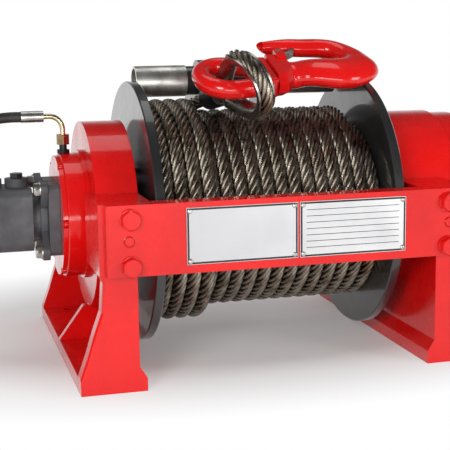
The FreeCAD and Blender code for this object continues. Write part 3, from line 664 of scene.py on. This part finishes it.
def add_turned(shape, outline, sides, matrix):
    """Closed turned form from (radius, height) points, in a bmesh."""
    rings = []
    for radius, height in outline:
        ring = []
        for i in range(sides):
            angle = 2.0 * math.pi * i / sides
            spot = Vector((radius * math.cos(angle), radius * math.sin(angle), height))
            ring.append(shape.verts.new(matrix @ spot))
        rings.append(ring)
    add_rows(shape, rings)
    shape.faces.new(tuple(reversed(rings[0])))
    shape.faces.new(tuple(rings[-1]))


def add_hex_head(shape, matrix, flats, height, washer):
    """Hexagon head with a chamfered crown on its washer."""
    low, high = WASHER_STEPS
    add_turned(shape, [(washer, 0.0), (washer, low), (washer - WASHER_EDGE, high)], WASHER_SIDES, matrix)
    inner = flats / 2.0
    rings = []
    for lift, crown in ((0.0, False), (height - flats * CROWN_DEPTH, False), (height, True)):
        ring = []
        for i in range(HEAD_SIDES):
            angle = 2.0 * math.pi * i / HEAD_SIDES
            side = (angle + math.pi / 6.0) % (math.pi / 3.0) - math.pi / 6.0
            radius = inner / math.cos(side)
            drop = 0.0
            if crown:
                radius = inner * CROWN_SHARE
            elif lift > 0.0:
                drop = (radius - inner) * CORNER_DROP
            spot = Vector((radius * math.cos(angle), radius * math.sin(angle), HEAD_BASE + lift - drop))
            ring.append(shape.verts.new(matrix @ spot))
        rings.append(ring)
    add_rows(shape, rings)
    shape.faces.new(tuple(rings[-1]))
    shape.faces.new(tuple(reversed(rings[0])))


def add_socket_head(shape, matrix, radius, height):
    """Cap screw with its hexagon socket."""
    outline = [(radius, 0.0), (radius, height - SCREW_EDGE), (radius - SCREW_EDGE, height),
               (radius * SOCKET_RIM, height)]
    add_turned(shape, outline, SCREW_SIDES, matrix)
    corner = radius * SOCKET_SHARE
    rings = []
    for level in (height + 0.0001, height - radius * SOCKET_DEPTH):
        ring = []
        for i in range(6):
            angle = math.pi * i / 3.0
            spot = Vector((corner * math.cos(angle), corner * math.sin(angle), level))
            ring.append(shape.verts.new(matrix @ spot))
        rings.append(ring)
    for i in range(6):
        k = (i + 1) % 6
        shape.faces.new((rings[0][k], rings[0][i], rings[1][i], rings[1][k]))
    shape.faces.new(tuple(rings[1]))


def add_dome(shape, matrix, radius, height):
    """Low domed rivet head."""
    outline = [(radius, 0.0)]
    for i in range(1, DOME_STEPS):
        angle = math.pi / 2.0 * i / DOME_STEPS
        outline.append((radius * math.cos(angle), height * math.sin(angle)))
    add_turned(shape, outline, DOME_SIDES, matrix)


def finished(name, shape, material, body, sharp=30.0):
    """Piece from a bmesh, which is freed."""
    mesh = bpy.data.meshes.new(name)
    shape.to_mesh(mesh)
    shape.free()
    smooth(mesh, sharp)
    return piece(name, mesh, material, body)


# Latch of the hook: a tapered leaf and a rolled eye
HOOK_PLACE = Vector((0.0, -0.0784426, 0.4011523))
HOOK_REAR = Vector((0.0, 0.9271839, 0.3746066))
HOOK_UP = Vector((0.0, -0.3746066, 0.9271839))


def in_hook(u, v, w):
    return HOOK_PLACE + Vector((u, 0.0, 0.0)) + HOOK_REAR * v + HOOK_UP * w


PIVOT = Vector((0.040, 0.0504))
TIP = Vector((0.082, 0.0867))
LEAF_STATIONS = 8
LEAF_HALF = 0.0168
LEAF_TAPER = 0.0095
LEAF_TAPER_RATE = 1.6
LEAF_INNER = 0.0040
LEAF_OUTER = 0.0070
ROLL_HALF = 0.017
ROLL = [(0.0062, 0.0), (0.0070, 0.0008), (0.0070, 0.0332), (0.0062, 0.0340)]

leaf_along = (TIP - PIVOT).normalized()
leaf_across = Vector((-leaf_along.y, leaf_along.x))
leaf_length = (TIP - PIVOT).length
leaf_corners = ((LEAF_INNER, -1.0), (LEAF_OUTER, -1.0), (LEAF_OUTER, 1.0), (LEAF_INNER, 1.0))
shape = bmesh.new()
stations = []
for i in range(LEAF_STATIONS + 1):
    part = i / LEAF_STATIONS
    half = LEAF_HALF - LEAF_TAPER * eased(part * LEAF_TAPER_RATE)
    ring = []
    for lift, side in leaf_corners:
        spot = PIVOT + leaf_along * (leaf_length * part) + leaf_across * lift
        ring.append(shape.verts.new(in_hook(spot.x, spot.y, half * side)))
    stations.append(ring)
add_rows(shape, stations)
shape.faces.new(tuple(reversed(stations[0])))
shape.faces.new(stations[-1])
add_turned(shape, ROLL, SCREW_SIDES, framed(in_hook(PIVOT.x, PIVOT.y, -ROLL_HALF), HOOK_UP))
bmesh.ops.recalc_face_normals(shape, faces=shape.faces)
latch = finished("latch_leaf", shape, latch_steel, "latch", 35.0)
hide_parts("hook_latch")

# Screws and dowels of the tie bars
TIE_BOLT_X = 0.2224
TIE_BOLT_Z = (0.2330, 0.1715)
TIE_BOLT_FLATS = 0.024
TIE_BOLT_HEIGHT = 0.0085
TIE_WASHER = 0.0145
DOWEL_X = 0.2243
DOWEL_Z = 0.2046
DOWEL_SIDES = 36
DOWEL = [(0.0078, 0.0), (0.0078, 0.0009), (0.0071, 0.0012), (0.0066, 0.0002), (0.0060, 0.0011),
         (0.0004, 0.0012)]
for name, axis, face_y in (("front", FRONT, TIE_FACE_Y), ("rear", REAR, -TIE_FACE_Y)):
    shape = bmesh.new()
    for x in (-TIE_BOLT_X, TIE_BOLT_X):
        for z in TIE_BOLT_Z:
            add_hex_head(shape, framed((x, face_y, z), axis), TIE_BOLT_FLATS, TIE_BOLT_HEIGHT, TIE_WASHER)
    finished("tie_bolts_" + name, shape, red, "frame")
    shape = bmesh.new()
    for x in (-DOWEL_X, DOWEL_X):
        add_turned(shape, DOWEL, DOWEL_SIDES, framed((x, face_y, DOWEL_Z), axis))
    finished("tie_dowels_" + name, shape, red, "frame", 40.0)

# Screws of the brake cover, in its notches
BRAKE_SCREWS = 6
BRAKE_SCREW_CIRCLE = 0.0862
BRAKE_SCREW_RADIUS = 0.0036
BRAKE_SCREW_HEIGHT = 0.0055
shape = bmesh.new()
for i in range(BRAKE_SCREWS):
    place = around(BRAKE_FACE_X, BRAKE_SCREW_CIRCLE, 360.0 / BRAKE_SCREWS * i + 90.0)
    add_socket_head(shape, framed(place, OUTBOARD), BRAKE_SCREW_RADIUS, BRAKE_SCREW_HEIGHT)
finished("brake_screws", shape, red, "frame")


# Mounting flange of the motor with its ears, and the bolts in them
EAR_CIRCLE = 0.0636
EAR_RADIUS = 0.0125
WAIST_RADIUS = 0.0385
FLANGE_THICKNESS = 0.010
FLANGE_EDGE = 0.0012
MOTOR_BOLT_FLATS = 0.0165
MOTOR_BOLT_HEIGHT = 0.0075
MOTOR_WASHER = 0.0105


def ear_angles():
    return [math.radians(45.0 + 90.0 * i) for i in range(4)]


def flange_outline():
    """Outline of four round ears with hollows between them."""
    found = []
    for corner in ear_angles():
        for degrees in range(-75, 76, 15):
            turned = corner + math.radians(degrees)
            found.append((EAR_CIRCLE * math.cos(corner) + EAR_RADIUS * math.cos(turned),
                          EAR_CIRCLE * math.sin(corner) + EAR_RADIUS * math.sin(turned)))
        middle = corner + math.radians(45.0)
        for degrees in (-24, -12, 0, 12, 24):
            turned = middle + math.radians(degrees)
            found.append((WAIST_RADIUS * math.cos(turned), WAIST_RADIUS * math.sin(turned)))
    return found


def plate_piece(name, outline, x_face, thickness, material, round_edge):
    """Flat plate facing the motor end, from its outline in Y and Z about the drum axis."""
    shape = bmesh.new()
    ring = [shape.verts.new((x_face, y, AXIS_Z + z)) for y, z in outline]
    face = shape.faces.new(ring)
    moved = bmesh.ops.extrude_face_region(shape, geom=[face])
    verts = [g for g in moved["geom"] if isinstance(g, bmesh.types.BMVert)]
    bmesh.ops.translate(shape, verts=verts, vec=(-thickness, 0.0, 0.0))
    bmesh.ops.recalc_face_normals(shape, faces=shape.faces)
    front_x = x_face - thickness
    rim = [e for e in shape.edges if all(abs(v.co.x - front_x) < 1e-6 for v in e.verts)]
    bmesh.ops.bevel(shape, geom=rim, offset=round_edge, segments=2, affect="EDGES", profile=0.6)
    finished(name, shape, material, "frame")


plate_piece("motor_flange", flange_outline(), ADAPTER_FACE_X, FLANGE_THICKNESS, cast, FLANGE_EDGE)
shape = bmesh.new()
for corner in ear_angles():
    place = (ADAPTER_FACE_X - FLANGE_THICKNESS, EAR_CIRCLE * math.cos(corner),
             AXIS_Z + EAR_CIRCLE * math.sin(corner))
    add_hex_head(shape, framed(place, OUTBOARD), MOTOR_BOLT_FLATS, MOTOR_BOLT_HEIGHT, MOTOR_WASHER)
finished("motor_bolts", shape, zinc, "frame")


# Name plates: a dark border, rivets, and ruled rows on the right one
PLATE_SPANS = ((-0.149, 0.003), (0.006, 0.158))
BORDER_INSET = 0.0007
BORDER_WIDTH = 0.0024
BORDER_RISE = 0.00012
RIVET_INSET = 0.0045
RIVET_RADIUS = 0.0034
RIVET_HEIGHT = 0.0016
ROW_COUNT = 7
ROW_TOP = 0.2330
ROW_PITCH = 0.0085
ROW_WIDTH = 0.0008
ROW_SPAN = (0.0150, 0.1480)
ROW_RISE = 0.0001


def add_bar(shape, x0, x1, z0, z1, rise):
    """Thin raised bar on the face of a name plate."""
    corners = [(x0, z0), (x1, z0), (x1, z1), (x0, z1)]
    low = [shape.verts.new((x, PLATE_FACE_Y + 0.0001, z)) for x, z in corners]
    high = [shape.verts.new((x, PLATE_FACE_Y - rise, z)) for x, z in corners]
    shape.faces.new(high)
    for i in range(4):
        k = (i + 1) % 4
        shape.faces.new((low[i], low[k], high[k], high[i]))


borders = bmesh.new()
rivets = bmesh.new()
for x0, x1 in PLATE_SPANS:
    left = x0 + BORDER_INSET
    far = x1 - BORDER_INSET
    low = PLATE_BOTTOM + BORDER_INSET
    high = PLATE_TOP - BORDER_INSET
    bars = [(left, far, high - BORDER_WIDTH, high), (left, far, low, low + BORDER_WIDTH),
            (left, left + BORDER_WIDTH, low + BORDER_WIDTH, high - BORDER_WIDTH),
            (far - BORDER_WIDTH, far, low + BORDER_WIDTH, high - BORDER_WIDTH)]
    for bar in bars:
        add_bar(borders, *bar, BORDER_RISE)
    for x in (x0 + RIVET_INSET, x1 - RIVET_INSET):
        for z in (PLATE_BOTTOM + RIVET_INSET, PLATE_TOP - RIVET_INSET):
            add_dome(rivets, framed((x, PLATE_FACE_Y, z), FRONT), RIVET_RADIUS, RIVET_HEIGHT)
for row in range(ROW_COUNT):
    z = ROW_TOP - ROW_PITCH * row
    add_bar(borders, *ROW_SPAN, z, z + ROW_WIDTH, ROW_RISE)
finished("plate_lines", borders, line_black, "frame")
finished("plate_rivets", rivets, zinc, "frame")

# Floor, whose far part is seen white while the part near the winch keeps its shadow
FLOOR_HALF = 12.0
SPREAD_PLACE = (0.0, -0.15, 0.0)
SPREAD_SCALE = (0.75, 1.25, 1.0)
SHADOW_REACH = 0.32
WHITE_REACH = 0.6
NEAR_WHITE = 0.15

floor_look = Look("floor", (0.86, 0.86, 0.86), 0.7, specular=0.2)
ways = floor_look.node("ShaderNodeLightPath").outputs
seen = floor_look.math("MAXIMUM", ways["Is Camera Ray"], ways["Is Glossy Ray"])
spread = floor_look.node("ShaderNodeMapping", Vector=floor_look.place, Location=SPREAD_PLACE,
                         Scale=SPREAD_SCALE).outputs["Vector"]
distance = floor_look.node("ShaderNodeVectorMath", {"operation": "LENGTH"}, Vector=spread).outputs["Value"]
far_off = floor_look.span(distance, SHADOW_REACH, WHITE_REACH, NEAR_WHITE, 1.0)
glow = floor_look.node("ShaderNodeEmission", Color=(1, 1, 1, 1), Strength=1.0).outputs["Emission"]
blend = floor_look.tree.nodes.new("ShaderNodeMixShader")
floor_look.feed(blend.inputs[0], floor_look.math("MULTIPLY", seen, far_off))
floor_look.feed(blend.inputs[1], floor_look.shader.outputs["BSDF"])
floor_look.feed(blend.inputs[2], glow)
floor_look.feed(floor_look.tree.nodes["Material Output"].inputs["Surface"], blend.outputs["Shader"])
floor_look.bump((floor_look.noise(40.0), 0.02, 0.001))
floor_corners = [(-FLOOR_HALF, -FLOOR_HALF, 0), (FLOOR_HALF, -FLOOR_HALF, 0),
                 (FLOOR_HALF, FLOOR_HALF, 0), (-FLOOR_HALF, FLOOR_HALF, 0)]
floor_mesh = bpy.data.meshes.new("floor")
floor_mesh.from_pydata(floor_corners, [], [(0, 1, 2, 3)])
floor = bpy.data.objects.new("floor", floor_mesh)
scene.collection.objects.link(floor)
floor_mesh.materials.append(floor_look.material)

# World: white to the camera, soft for the surfaces, and for reflections bright only low at the rear
AMBIENT = 0.42
REAR_SHARE = 0.94
DARK_SHARE = 0.06

world = bpy.data.worlds.new("world")
scene.world = world
world.use_nodes = True
sky = Nodes(world.node_tree)
ways = sky.node("ShaderNodeLightPath").outputs
direction = sky.node("ShaderNodeTexCoord").outputs["Generated"]
split = sky.node("ShaderNodeSeparateXYZ", Vector=direction).outputs
low_rear = sky.math("MULTIPLY", sky.span(split["Y"], 0.0, 0.5), sky.span(split["Z"], 0.5, 0.1))
mirrored = sky.math("MULTIPLY_ADD", low_rear, REAR_SHARE, DARK_SHARE)
strength = sky.either(ways["Is Camera Ray"], sky.either(ways["Is Glossy Ray"], AMBIENT, mirrored), 1.0)
background = world.node_tree.nodes["Background"]
sky.feed(background.inputs["Strength"], strength)
sky.feed(background.inputs["Color"], (1, 1, 1, 1))

# Lamps
LAMP_AIM = (0.0, 0.0, 0.2)


def lamp(name, place, width, height, power):
    """Area lamp turned to the winch."""
    data = bpy.data.lights.new(name, "AREA")
    data.shape = "RECTANGLE"
    data.size = width
    data.size_y = height
    data.energy = power
    made = bpy.data.objects.new(name, data)
    scene.collection.objects.link(made)
    made.location = place
    made.rotation_euler = (Vector(LAMP_AIM) - Vector(place)).to_track_quat("-Z", "Y").to_euler()


lamp("key", (-1.6, -2.3, 1.0), 0.9, 0.9, 36.0)
lamp("fill", (2.0, -2.2, 0.7), 0.8, 1.0, 20.0)
lamp("low", (-0.2, -2.6, 0.25), 1.4, 0.35, 14.0)
lamp("top", (0.0, 0.5, 2.6), 1.6, 1.2, 9.0)
